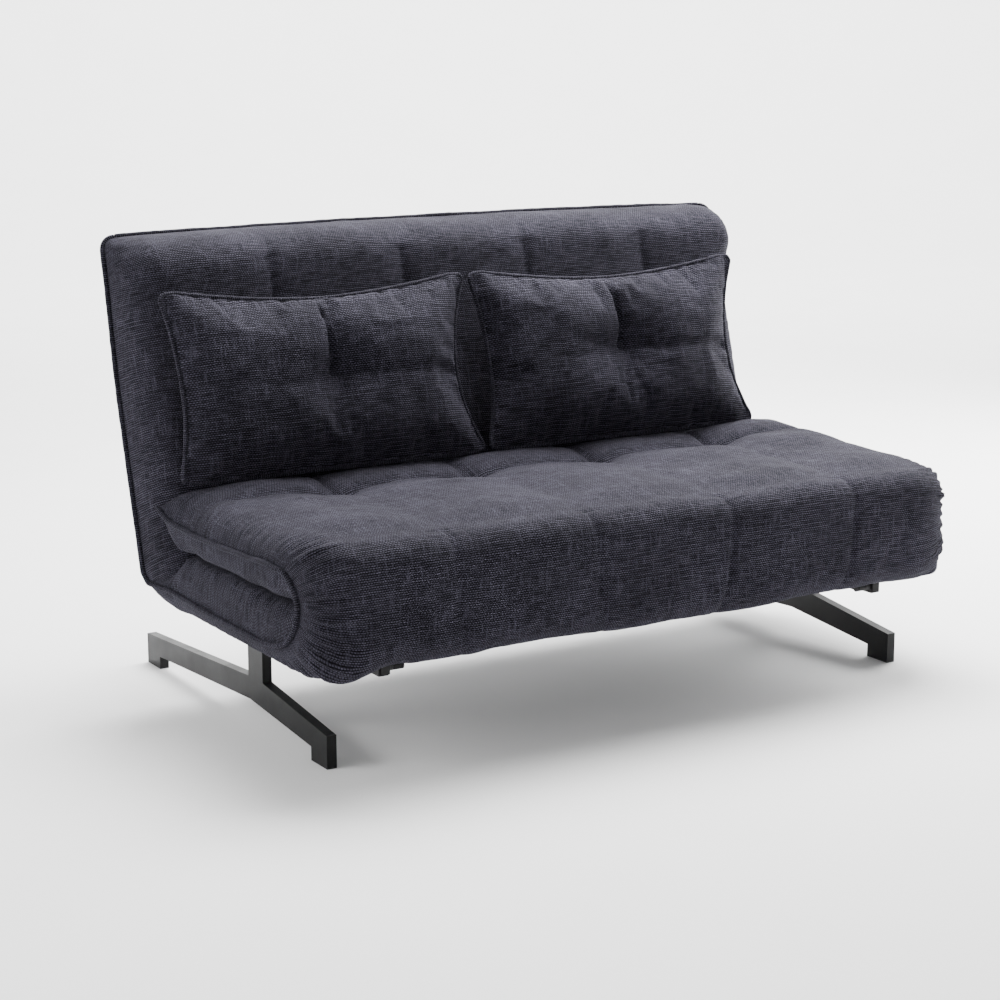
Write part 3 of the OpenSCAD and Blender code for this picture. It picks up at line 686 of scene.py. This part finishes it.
def outer_cover():
    """Points of the outer cover, and the rows at the front fold's middle and at the hinge's start and end."""
    outline, partner = outer_outline()
    y, z = outline[:, 0], outline[:, 1]
    at = lengths(outline)
    fold_weight = bump(partner, FOLD_AT, 0.17)
    under = smooth(partner, FOLD_AT + 0.03, FOLD_AT + 0.12)
    back = smooth(partner, AT_HINGE, AT_HEEL + 0.05)
    tip = fall(at, 0.0, 0.10)
    rounding = 0.062 + 0.036 * fold_weight - 0.014 * under - 0.026 * back - 0.016 * tip
    power = 2.05 + 0.15 * under + 0.4 * back + 0 * at
    right_rounding = rounding + 0.016 + 0.030 * fold_weight
    grid, share = sweep(outline, partner, rounding, power, right_rounding)
    x = grid[..., 0]
    from_end = end_x(partner[:, None], np.sign(x)) - np.abs(x)
    inside = smooth(from_end, 0.01, 0.085)

    ar = at[:, None]
    k_top = int(np.argmin(np.abs(y[:140] - TUFT_ROW_Y) + (z[:140] < UPPER_TOP - 0.001)))
    row_at = at[k_top]
    k_edge = int(np.argmax((y <= EDGE_ROW_Y) & (at > row_at)))
    edge_at = at[k_edge]
    k_mid = int(np.argmin(np.abs(z - MID_Z) + (y > FRONT_Y + 0.001)))
    mid_at = at[k_mid]
    k_bottom = int(np.argmax((at > mid_at) & (z <= SEAT_Z + 0.004)))
    bottom_at = at[k_bottom]
    heel_at = at[row_near(partner, AT_HINGE)]

    columns = column_distance(x)
    puff = cell_puff(x)
    bow = 0.016 * puff * (0.75 + 0.4 * noise(x, x * 0, 0.21, 11))
    to_row = ar - (row_at - bow)
    rear_cell = bump(ar, row_at / 2 + 0.01, row_at / 2 + 0.01)
    front_cell = smooth(ar, row_at, row_at + 0.10) * fall(ar, edge_at - 0.10, edge_at)
    face = smooth(ar, edge_at - 0.01, edge_at + 0.06) * fall(ar, bottom_at - 0.09, bottom_at)

    seat_crown = 0.013
    height = seat_crown * puff ** 0.6 * rear_cell + seat_crown * front_cell * (0.40 + 0.60 * puff)
    height *= smooth(from_end, 0.0, 0.16)
    height += 0.0035 * face * puff ** 0.7
    height += crease(to_row, 0.010, 0.013) * inside * (0.55 + 0.45 * smooth(columns, 0.16, 0.02))
    spot = np.hypot(columns, (ar - row_at) * 0.9)
    height += -0.024 * np.exp(-(spot / 0.036) ** 1.25)
    behind = smooth(ar, row_at - 0.145, row_at - 0.02) * fall(ar, row_at - 0.005, row_at + 0.01)
    ahead = fall(ar, row_at + 0.01, row_at + 0.13) * smooth(ar, row_at - 0.01, row_at + 0.005)
    height += crease(columns, 0.008, 0.011) * behind + crease(columns, 0.012, 0.007) * ahead
    # The stitch lines run down the front face, bowed, and cross the seat's front edge in a short tee
    on_face = smooth(ar, edge_at - 0.012, edge_at + 0.015)
    on_face = on_face * fall(ar, bottom_at - 0.05, bottom_at + 0.02)
    inward_bow = 0.020 * np.sign(x) * (smooth(ar, mid_at, bottom_at) - 0.35 * bump(ar, edge_at + 0.06, 0.09))
    face_columns = column_distance(x + inward_bow)
    height += crease(face_columns, 0.0045, 0.0050) * on_face + crease(face_columns, 0.03, 0.0016) * on_face
    height += crease(ar - edge_at, 0.007, 0.004) * np.exp(-(columns / 0.045) ** 2)

    uneven = noise(x, ar, 0.16, 21) * 0.0045 + noise(x, ar, 0.055, 22) * 0.0018
    uneven = uneven + noise(x, ar, 0.022, 23) * 0.0006
    calm = 1 - 0.6 * smooth(ar, bottom_at, bottom_at + 0.06)
    height += uneven * inside * calm
    at_roll = bump(partner, FOLD_AT, 0.15)[:, None] ** 0.5
    height += gathers(ar, x, from_end, 0.110, 0.022, 0.0150, 31) * at_roll
    height += gathers(ar, x, from_end, 0.05, 0.034, 0.0025, 35) * (1 - fold_weight[:, None])

    # Slack fabric hangs below the roll, most at its left end, but not where the runners slide out
    hang = smooth(ar, bottom_at - 0.075, bottom_at - 0.022)
    hang = hang * fall(ar, bottom_at - 0.010, bottom_at + 0.010)
    runner_lane = bump(np.abs(x), RUNNER_X, 0.045)
    slack = 0.016 * bump(x, -0.690, 0.085) + 0.004 * (1 - runner_lane) * smooth(0.57 - x, 0.0, 0.17)
    height += hang * slack
    # Nothing swells into the dust cover or the feet under the seat
    under_seat = smooth(ar, bottom_at, bottom_at + 0.03) * fall(ar, heel_at - 0.09, heel_at - 0.03)
    height = height * (1 - under_seat * smooth(HALF_W - np.abs(x), 0.05, 0.08))
    low_band = smooth(ar, bottom_at - 0.04, bottom_at + 0.03)
    low_band = low_band * fall(ar, heel_at - 0.04, heel_at + 0.04)
    height += 0.013 * low_band * bump(from_end, 0.038, 0.040)
    corner_swell = smooth(x, 0.30, 0.58) * fall(ar, row_at, row_at + 0.16)
    height += 0.011 * (corner_swell * smooth(from_end, 0.0, 0.09))
    rear = smooth(ar, heel_at + 0.10, heel_at + 0.20)
    flat_rear = 0.003 * inside * (1 - np.abs(x / HALF_W) ** 4)
    height = height * (1 - rear) + rear * (flat_rear + 0.0016 * noise(x, ar, 0.12, 41) * inside)
    # Behind the hinge the fabric stays clear of the runners' rear ends
    over_runner = runner_lane * smooth(ar, heel_at - 0.12, heel_at - 0.06)
    over_runner = over_runner * fall(ar, heel_at + 0.16, heel_at + 0.24)
    height = height * (1 - over_runner) - 0.003 * over_runner
    last = smooth(at[-1] - ar, 0.0, 0.02)
    first = smooth(ar, 0.0, 0.03)
    height = height * first * last * np.sqrt(np.clip(share * 1.6 + 0.25, 0, 1))
    height = height * smooth(from_end, 0.0, 0.004)
    rows = k_mid, row_near(at, heel_at - 0.13), row_near(at, heel_at + 0.16)
    return crowned(displaced(grid, height, -1)), rows


def seat_lining():
    """Points of the inner fabric under the upper section."""
    outline, partner = seat_lining_outline()
    at = lengths(outline)
    grid, _ = sweep(outline, partner, np.full(len(at), 0.030), np.full(len(at), 2.3))
    x, ar = grid[..., 0], at[:, None]
    from_end = end_x(partner[:, None], np.sign(x)) - np.abs(x)
    side = fall(from_end, 0.02, 0.05)
    height = 0.0022 * noise(ar, x, 0.05, 51) * side * smooth(from_end, 0.0, 0.008)
    height += gathers(ar, x, from_end, 0.045, 0.027, 0.0016, 53)
    return displaced(grid, height * smooth(ar, 0, 0.03) * smooth(at[-1] - ar, 0, 0.03), 1)


def base_lining():
    """Points of the inner fabric over the seat and the back, and the rows at the hinge's start and end."""
    outline, partner = base_lining_outline()
    y, z = outline[:, 0], outline[:, 1]
    at = lengths(outline)
    on_seat = fall(partner, AT_HINGE - 0.06, AT_HEEL)
    rounding = 0.036 * on_seat + 0.078 * (1 - on_seat)
    power = 2.5 * on_seat + 2.15 * (1 - on_seat)
    at_frame = smooth(partner, AT_END - 0.20, AT_END - 0.09)
    right_rounding = 0.036 * on_seat + (0.120 - 0.055 * at_frame) * (1 - on_seat)
    grid, share = sweep(outline, partner, rounding, power, right_rounding)
    x, ar = grid[..., 0], at[:, None]
    from_end = end_x(partner[:, None], np.sign(x)) - np.abs(x)
    crease_at = at[int(np.argmin(np.hypot(y - CREASE[0], z - CREASE[1])))]
    inside = smooth(from_end, 0.01, 0.08)
    seat_side = fall(from_end, 0.015, 0.06) * smooth(from_end, 0.0, 0.01)
    seat = fall(ar, crease_at - 0.05, crease_at)
    pleats = gathers(ar, x, from_end, 0.075, 0.052, 0.0050, 61)
    pleats = pleats + gathers(ar, x, from_end, 0.06, 0.027, 0.0030, 65)
    height = seat * (pleats + 0.004 * noise(ar, x, 0.06, 67) * seat_side)
    # The back: long faint stitch columns, a soft swell between them and gathers at the rear piping
    back = smooth(ar, crease_at + 0.05, crease_at + 0.12)
    top = at[-1]
    stitched = back * fall(ar, top - 0.165, top - 0.135)
    columns = column_distance(x)
    height += stitched * (crease(columns, 0.0045, 0.0040) + crease(columns, 0.035, 0.0035))
    height += back * inside * 0.0045 * cell_puff(x) ** 0.6 * fall(ar, top - 0.12, top - 0.02)
    height += back * inside * (0.0035 * noise(x, ar, 0.15, 71) + 0.0014 * noise(x, ar, 0.05, 72))
    tick = crease(ar - (top - 0.15), 0.006, 0.003) * np.exp(-(columns / 0.03) ** 2)
    height += back * tick
    height += back * gathers(ar, x, from_end, 0.05, 0.030, 0.0022, 75)
    height *= smooth(ar, 0, 0.02) * smooth(top - ar, 0, 0.02) * smooth(from_end, 0.0, 0.004)
    # Above the lower section the fabric stays under the section folded on to it
    height = np.where((ar < crease_at - 0.04) & (share > 0.98), np.minimum(height, 0.0), height)
    rows = row_near(at, crease_at - 0.13), row_near(at, crease_at + 0.20)
    return crowned(displaced(grid, height, 1)), rows


def cover_piece(name, grid, cloth, normals, rows, flip):
    part = grid[rows]
    faces = grid_faces(part.shape[0], part.shape[1], flip)
    facing = (normals[rows] * (-1.0 if flip else 1.0)).reshape(-1, 3)
    return mesh_piece(name, part.reshape(-1, 3), faces, cloth[rows].reshape(-1, 3), facing)


def make_covers():
    """Makes the fabric pieces, and returns the start and end of the span across the back's hinge."""
    hinge = {"start": (0.0, BACK_PIVOT[0] - 0.045, BACK_PIVOT[1] - 0.055),
             "end": (0.0, BACK_PIVOT[0] + 0.050, BACK_PIVOT[1] + 0.025)}

    def cut(grid, cloth, normals, spans, flip):
        return {name: cover_piece(name, grid, cloth, normals, span, flip) for name, span in spans.items()}

    grid, (mid, hinge_start, hinge_end) = outer_cover()
    outer = cut(grid, fabric_coordinates(grid, 0.0), grid_normals(grid), {
        "seat_top_cover": slice(0, mid + 1),
        "seat_base_cover": slice(mid, hinge_start + 1),
        "hinge_outer_cover": slice(hinge_start, hinge_end + 1),
        "back_rear_cover": slice(hinge_end, len(grid)),
    }, True)
    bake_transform(outer["seat_top_cover"])
    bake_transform(outer["seat_base_cover"])
    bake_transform(outer["hinge_outer_cover"])
    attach(outer["back_rear_cover"], "back_section")
    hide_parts("upper_outer_cover", "upper_foam")
    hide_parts("roll_cover", "roll_foam", "lower_foam")
    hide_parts("back_outer_cover")

    grid = seat_lining()
    cloth = fabric_coordinates(grid, 3.0, FOLD_STRETCH)
    piece = cover_piece("seat_top_lining", grid, cloth, grid_normals(grid), slice(0, None), False)
    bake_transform(piece)
    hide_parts("upper_inner_cover")

    grid, (hinge_start, hinge_end) = base_lining()
    inner = cut(grid, fabric_coordinates(grid, 6.0, FOLD_STRETCH), grid_normals(grid), {
        "seat_base_lining": slice(0, hinge_start + 1),
        "hinge_inner_cover": slice(hinge_start, hinge_end + 1),
        "back_front_cover": slice(hinge_end, len(grid)),
    }, False)
    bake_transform(inner["seat_base_lining"])
    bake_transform(inner["hinge_inner_cover"])
    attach(inner["back_front_cover"], "back_section")
    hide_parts("lower_inner_cover")
    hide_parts("back_inner_cover", "back_foam")
    return hinge


def make_piping(hinge):
    """The piping along both ends, cut where it passes from one body to the next, and over the back's top."""
    radius = 0.0052
    outward_step = 0.0035
    hinge_low, hinge_high = AT_HINGE - 0.13, AT_HEEL + 0.11
    spans = {
        "upper": (0.0, FOLD_AT), "lower": (FOLD_AT, hinge_low),
        "hinge": (hinge_low, hinge_high), "back": (hinge_high, AT_END),
    }
    for side, sign in (("left", -1), ("right", 1)):
        for k, (name, (low, high)) in enumerate(spans.items()):
            own = np.linspace(low, high, int((high - low) / 0.005) + 2)
            if name == "back":
                turn = np.sin(np.linspace(0, math.pi / 2, 14))
                own = np.append(own[own < high - TOP_CORNER_R - 0.003], high - TOP_CORNER_R * (1 - turn))
            path = np.column_stack([sign * (end_x(own, sign) + outward_step), piping_place(own)])
            piece = tube(f"{side}_{name}_piping", path, radius, 100 + k * 7 + (sign > 0))
            if name == "upper":
                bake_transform(piece)
            elif name == "lower":
                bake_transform(piece)
            elif name == "hinge":
                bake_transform(piece)
            else:
                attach(piece, "back_section")
    top = PIPING[-1]
    x = np.arange(-float(end_x(AT_END, -1)), float(end_x(AT_END, 1)) + 0.001, 0.005)
    wave = 0.0012 * noise(x, x * 0, 0.09, 131)
    path = np.column_stack([x, top[0] + wave * OFF_BACK[0], top[1] + 0.001 + wave])
    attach(tube("back_top_piping", crowned(path), radius, 133), "back_section")
    rear = np.column_stack([x, np.full(len(x), TIP[0]), np.full(len(x), TIP[1])])
    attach(tube("seat_rear_piping", rear[np.abs(x) < HALF_W], radius * 0.9, 135), "upper_section")


# ---- Loose pillows ----

def pillow_point(centre_x, a, u, v):
    """A pillow's own across, up and forward places, as a point in the frame."""
    yz = BACK_PIVOT + u[..., None] * UP_BACK + v[..., None] * OFF_BACK
    return np.concatenate([(centre_x + a)[..., None], yz], -1)


TUFT_ASIDE = 0.004
PILLOW = {"half_w": 0.348, "half_h": 0.192, "mid_u": 0.361, "mid_v": 0.128, "thick": 0.052}


def pillow_outline(p, q):
    """Across and up places of a pillow's flat pattern at p and q from -1 to 1, with its edges drawn in."""
    drawn_side = np.where(p > 0, 0.050, 0.026) * (1 - np.clip((q + 0.12) / 1.05, -1, 1) ** 2)
    drawn_edge = np.where(q > 0, 0.030, 0.001) * (1 - np.abs(p) ** 1.7)
    flare = 0.013 * np.clip(-q, 0, 1) ** 2 - 0.004 * np.clip(q, 0, 1)
    across = (PILLOW["half_w"] + flare) * p - np.sign(p) * drawn_side * np.abs(p) ** 3
    up = PILLOW["half_h"] * q - np.sign(q) * drawn_edge * np.abs(q) ** 3
    corner = np.clip((np.abs(p) + np.abs(q) - 1.90) / 0.10, 0, 1)
    across -= np.sign(p) * 0.008 * corner
    up -= np.sign(q) * 0.007 * corner
    return across, up


def pillow(centre_x, seed):
    """A pillow's two faces as grids, its across and up places, and the tuft's creases, kept for later."""
    columns, rows = 150, 84
    tp, tq = [np.linspace(-1, 1, count + 1) for count in (columns, rows)]
    p, q = np.meshgrid(*[np.sin(t * math.pi / 2) * 0.35 + t * 0.65 for t in (tp, tq)])
    across, up = pillow_outline(p, q)
    body = (np.clip(1 - np.abs(p) ** 2.4, 0, 1) * np.clip(1 - np.abs(q) ** 2.2, 0, 1)) ** 0.52
    fade = np.clip(body * 1.5, 0, 1)
    aside = across - TUFT_ASIDE
    spot = np.hypot(aside, up)
    dip = -0.026 * np.exp(-(spot / 0.055) ** 1.3)
    tuft = -0.020 * np.exp(-(spot / 0.018) ** 1.2)
    bent = aside + 0.020 * np.clip(up / 0.15, 0, 1) ** 1.6
    above = smooth(up, -0.004, 0.015) * fall(up, 0.115, 0.160)
    below = smooth(-up, 0.01, 0.03) * fall(-up, 0.09, 0.15)
    tuft += crease(bent, 0.0055, 0.0130) * above + crease(bent, 0.024, 0.005) * above
    tuft += crease(aside - 0.008, 0.006, 0.0040) * below
    right = smooth(aside, 0.0, 0.04) * (1 - 0.4 * smooth(aside, 0.2, 0.33))
    left = smooth(-aside, 0.0, 0.05)
    tuft += crease(up + 0.010 * np.sin(aside * 9), 0.013, 0.0065) * right
    tuft += crease(up + 0.012, 0.022, 0.0045) * left * fall(-aside, 0.1, 0.26)
    wrinkle = 0.0040 * noise(across, up, 0.085, seed) + 0.0016 * noise(across, up, 0.03, seed + 1)
    from_side, from_top = (1 - np.abs(p)) * PILLOW["half_w"], (1 - np.abs(q)) * PILLOW["half_h"]
    edge = np.minimum(from_side, from_top)
    along_edge = np.where(from_side < from_top, up, across)
    pucker = 0.0022 * noise(along_edge, edge * 0.3, 0.016, seed + 2) * np.exp(-((edge - 0.016) / 0.02) ** 2)
    pinch_at = np.hypot(aside - PILLOW["half_w"] * 0.88, (up + 0.02) * 1.5)
    pinch = 0.011 * np.exp(-(pinch_at / 0.055) ** 1.4) * np.cos(np.arctan2(up + 0.02, aside - 0.40) * 15)
    detail = (tuft + pucker) * fade + pinch * smooth(edge, 0.0, 0.02)
    front = np.maximum(PILLOW["thick"] * body + (dip + wrinkle) * fade, 0.0)
    rear = PILLOW["thick"] * 0.72 * body + 0.003 * noise(across, up, 0.09, seed + 5) * body
    height = PILLOW["mid_u"] + up + -0.006 * (1 - p**2) * smooth(q, 0.2, 1.0)
    faces = [pillow_point(centre_x, across, height, PILLOW["mid_v"] + out) for out in (front, -rear)]
    return faces, across, up, detail


def positions(mesh):
    flat = np.empty(len(mesh.vertices) * 3)
    mesh.vertices.foreach_get("co", flat)
    return flat.reshape(-1, 3)


def inflate(piece, pinned, cap):
    """Blows a sewn cover up by cloth simulation. The pinned points stay, and no point moves past cap."""
    mesh = piece.data
    seams = piece.vertex_groups.new(name="seams")
    seams.add([int(i) for i in pinned], 1.0, "REPLACE")
    cloth = piece.modifiers.new("inflate", "CLOTH")
    settings = cloth.settings
    settings.quality = 6
    settings.vertex_group_mass = "seams"
    settings.use_pressure = True
    settings.uniform_pressure_force = 4.0
    settings.shrink_min = -0.02
    settings.effector_weights.gravity = 0.0
    settings.tension_stiffness = settings.compression_stiffness = 20.0
    settings.bending_stiffness = 1.5
    frames = 20
    cloth.point_cache.frame_start, cloth.point_cache.frame_end = 1, frames
    scene = bpy.context.scene
    for number in range(1, frames + 1):
        scene.frame_set(number)
    settled = piece.evaluated_get(bpy.context.evaluated_depsgraph_get()).data
    start = positions(mesh)
    move = positions(settled) - start
    length = np.linalg.norm(move, axis=1, keepdims=True)
    move *= np.minimum(1, cap / np.maximum(length, 1e-9))
    piece.modifiers.remove(cloth)
    piece.vertex_groups.clear()
    scene.frame_set(1)
    mesh.vertices.foreach_set("co", (start + move).ravel())
    mesh.update()
    print(piece.name, "swelled by", round(float(length.max()), 4), "m, capped at", cap)


def boundary_loop(grid):
    """The outer line of a grid of points, closed."""
    return np.vstack([grid[0, :-1], grid[:-1, -1], grid[-1, :0:-1], grid[::-1, 0]])


def make_pillow(side, centre_x, seed):
    """A pillow's cover, sewn at its edge, blown up, and then creased at the tuft, with its piping."""
    (front, rear), across, up, detail = pillow(centre_x, seed)
    r, c = across.shape
    on_edge = np.zeros((r, c), bool)
    on_edge[0], on_edge[-1], on_edge[:, 0], on_edge[:, -1] = True, True, True, True
    rear_index = np.full((r, c), -1)
    front_index = np.arange(r * c).reshape(r, c)
    rear_index[on_edge] = front_index[on_edge]
    rear_index[~on_edge] = r * c + np.arange((~on_edge).sum())
    points = np.vstack([front.reshape(-1, 3), rear[~on_edge]])
    quads = grid_faces(r, c)
    rear_quads = rear_index.ravel()[quads][:, ::-1]
    cloth = np.stack([across, up, np.full(across.shape, float(seed))], -1)
    cloth = np.vstack([cloth.reshape(-1, 3), (cloth + [0, 0, 0.5])[~on_edge]])
    piece = mesh_piece(f"{side}_pillow_cover", points, np.vstack([quads, rear_quads]), cloth)
    tuft = np.hypot(across - TUFT_ASIDE, up) < 0.012
    front_pins = front_index[on_edge | tuft]
    rear_tuft = rear_index[tuft]
    inflate(piece, np.concatenate([front_pins, rear_tuft]), 0.013)
    settled = positions(piece.data)
    settled[:r * c, 1:] += detail.reshape(-1, 1) * OFF_BACK
    piece.data.vertices.foreach_set("co", settled.ravel())
    piece.data.update()
    body = f"{side}_loose_pillow"
    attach(piece, body)
    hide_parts(f"{side}_pillow")
    loop = boundary_loop(front)
    loop = resample(np.vstack([loop, loop[:1]]) if not np.allclose(loop[0], loop[-1]) else loop, 420)
    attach(tube(f"{side}_pillow_piping", loop, 0.0046, seed + 9, closed=True), body)


def make_button(side, centre_x, seed):
    """A fabric-covered button at the bottom of the tuft: a shallow dome with a turned-under rim."""
    rings, sides = 8, 28
    r0 = 0.0115
    profile = [(r0 * math.sin(t), 0.0045 * math.cos(t)) for t in np.linspace(0.02, math.pi * 0.62, rings)]
    angle = np.linspace(0, 2 * math.pi, sides, endpoint=False)
    centre_u, centre_v = PILLOW["mid_u"], PILLOW["mid_v"] + 0.012
    a = np.array([[r * np.cos(t) for t in angle] for r, _ in profile])
    u = np.array([[r * np.sin(t) for t in angle] for r, _ in profile])
    v = np.array([[h for _ in angle] for _, h in profile])
    points = pillow_point(centre_x + TUFT_ASIDE, a, centre_u + u, centre_v + v).reshape(-1, 3)
    k, j = np.meshgrid(np.arange(rings - 1), np.arange(sides), indexing="ij")
    low, high, turn = k * sides, (k + 1) * sides, (j + 1) % sides
    faces = np.stack([low + j, high + j, high + turn, low + turn], -1)
    cloth = np.stack([a, u, np.full(a.shape, seed * 0.5)], -1).reshape(-1, 3)
    piece = mesh_piece(f"{side}_pillow_tuft_button", points, faces.reshape(-1, 4), cloth)
    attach(piece, f"{side}_loose_pillow")
    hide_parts(f"{side}_pillow_button")


# ---- Stage ----

def area_light(name, place, target, size, power):
    data = bpy.data.lights.new(name, "AREA")
    data.shape = "RECTANGLE"
    data.size, data.size_y = size
    data.energy = power
    lamp = bpy.data.objects.new(name, data)
    lamp.location = place
    lamp.rotation_euler = (Vector(target) - Vector(place)).to_track_quat("-Z", "Y").to_euler()
    bpy.context.scene.collection.objects.link(lamp)


def make_stage():
    """A pale floor that curves up into a round wall, lit softly from above."""
    flat, bend, top, sides = 8.0, 3.5, 7.0, 96
    turn = np.radians(np.linspace(0, 90, 14))
    profile = [(flat * k / 4, 0.0) for k in range(1, 4)]
    profile += [(flat + bend * math.sin(t), bend * (1 - math.cos(t))) for t in turn] + [(flat + bend, top)]
    angle = np.linspace(0, 2 * math.pi, sides, endpoint=False)
    points = [(r * math.cos(a), r * math.sin(a), z) for r, z in profile for a in angle] + [(0.0, 0.0, 0.0)]
    faces = [(low + j, low + sides + j, low + sides + (j + 1) % sides, low + (j + 1) % sides)
             for low in range(0, (len(profile) - 1) * sides, sides) for j in range(sides)]
    faces += [(len(points) - 1, j, (j + 1) % sides) for j in range(sides)]
    mesh = bpy.data.meshes.new("floor")
    mesh.from_pydata(points, [], faces)
    mesh.polygons.foreach_set("use_smooth", [True] * len(mesh.polygons))
    floor = bpy.data.objects.new("floor", mesh)
    bpy.context.scene.collection.objects.link(floor)
    n = Nodes("pale_floor")
    grain = n.noise(n.place(), 3.0, 2.0)
    n.set("Base Color", n.mix(grain, (0.82, 0.82, 0.82, 1), (0.86, 0.86, 0.86, 1)))
    n.set("Roughness", 0.9)
    mesh.materials.append(n.material)
    world = bpy.data.worlds.new("studio")
    bpy.context.scene.world = world
    world.use_nodes = True
    world.node_tree.nodes["Background"].inputs["Color"].default_value = (1, 1, 1, 1)
    world.node_tree.nodes["Background"].inputs["Strength"].default_value = 0.5
    area_light("overhead_softbox", (0.9, 0.9, 3.2), (0.1, 0, 0.3), (3.0, 2.0), 520)
    area_light("right_softbox", (3.4, 0.6, 1.7), (0.2, 0, 0.5), (1.8, 1.4), 190)
    area_light("left_softbox", (-3.4, 0.4, 1.7), (-0.3, 0, 0.4), (1.6, 1.4), 75)
    area_light("wall_wash", (2.5, 4.0, 6.5), (6.0, 9.0, 2.0), (7.0, 3.0), 2600)


def make_camera():
    data = bpy.data.cameras.new("camera")
    data.lens = 82.4
    data.sensor_width = 36.0
    data.clip_end = 1000
    camera = bpy.data.objects.new("camera", data)
    camera.location = (-2.509, -3.948, 1.372)
    yaw, pitch = 0.550, 0.212
    camera.rotation_euler = (math.pi / 2 - pitch, 0, -yaw)
    bpy.context.scene.collection.objects.link(camera)
    bpy.context.scene.camera = camera


make_camera()
finish_nodes()
make_piping(make_covers())
for side, centre_x, seed in (("left", -0.401, 211), ("right", 0.303, 251)):
    make_pillow(side, centre_x, seed)
    make_button(side, centre_x, seed)
make_stage()
